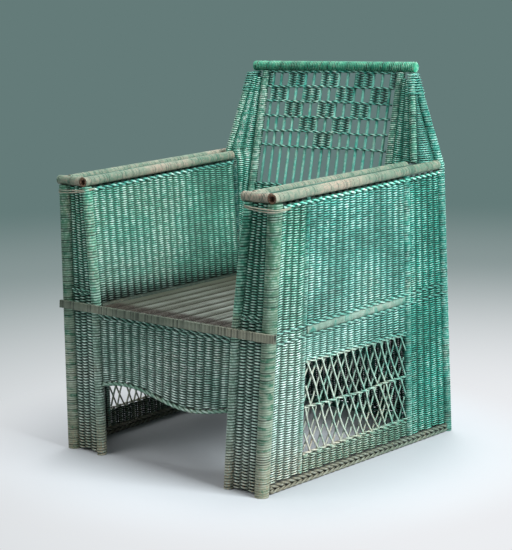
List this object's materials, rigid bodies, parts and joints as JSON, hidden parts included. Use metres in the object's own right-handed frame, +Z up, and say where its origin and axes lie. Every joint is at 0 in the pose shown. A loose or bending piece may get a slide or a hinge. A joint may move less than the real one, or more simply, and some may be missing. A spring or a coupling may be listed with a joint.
{
  "type": "wicker armchair",
  "caption": "Square-armed wicker armchair with a raked back of checkerboard open-work, woven wings and seat, and diamond-lattice windows in its skirted sides.",
  "frame": {"origin": "on the floor, under the middle of the chair's bounding box", "axes": "+Z up, +X to the sitter's left (right in a front view), -Y the way the sitter faces"},
  "size_m": [0.728, 0.768, 0.979],
  "materials": {
    "wrapped_pole": "worn satin paint",
    "worn_pole": "bare, matte",
    "woven_reed": "worn satin paint",
    "seat_reed": "worn, matte"
  },
  "bodies": {
    "root": {"front_corner_post_l": "wrapped_pole", "front_corner_post_r": "wrapped_pole", "front_inner_post_l": "wrapped_pole", "front_inner_post_r": "wrapped_pole", "side_post_front_l": "wrapped_pole", "side_post_front_r": "wrapped_pole", "side_post_rear_l": "wrapped_pole", "side_post_rear_r": "wrapped_pole", "rear_post_l": "wrapped_pole", "rear_post_r": "wrapped_pole", "wing_post_l": "wrapped_pole", "wing_post_r": "wrapped_pole", "back_post_l": "wrapped_pole", "back_post_r": "wrapped_pole", "seat_rail_side_l": "wrapped_pole", "seat_rail_side_r": "wrapped_pole", "seat_bearer_l": "wrapped_pole", "seat_bearer_r": "wrapped_pole", "arm_rail_outer_l": "worn_pole", "arm_rail_outer_r": "worn_pole", "arm_rail_inner_l": "worn_pole", "arm_rail_inner_r": "worn_pole", "arm_front_rail_l": "worn_pole", "arm_front_rail_r": "worn_pole", "column_weave_l": "woven_reed", "column_weave_r": "woven_reed", "side_stile_front_l": "woven_reed", "side_stile_front_r": "woven_reed", "side_stile_rear_l": "woven_reed", "side_stile_rear_r": "woven_reed", "side_upper_l": "woven_reed", "side_upper_r": "woven_reed", "window_head_l": "woven_reed", "window_head_r": "woven_reed", "lattice_l": "woven_reed", "lattice_r": "woven_reed", "window_sill_l": "woven_reed", "window_sill_r": "woven_reed", "side_border_l": "woven_reed", "side_border_r": "woven_reed", "inner_arm_l": "woven_reed", "inner_arm_r": "woven_reed", "arm_top_l": "woven_reed", "arm_top_r": "woven_reed", "wing_front_l": "woven_reed", "wing_front_r": "woven_reed", "wing_side_l": "woven_reed", "wing_side_r": "woven_reed", "top_rail": "wrapped_pole", "seat_rail_front": "wrapped_pole", "seat_rail_rear": "wrapped_pole", "apron": "woven_reed", "apron_border": "woven_reed", "back_weave": "woven_reed", "back_openwork": "woven_reed", "rear_panel": "woven_reed", "rear_border": "woven_reed", "seat": "seat_reed"}
  },
  "joints": []
}
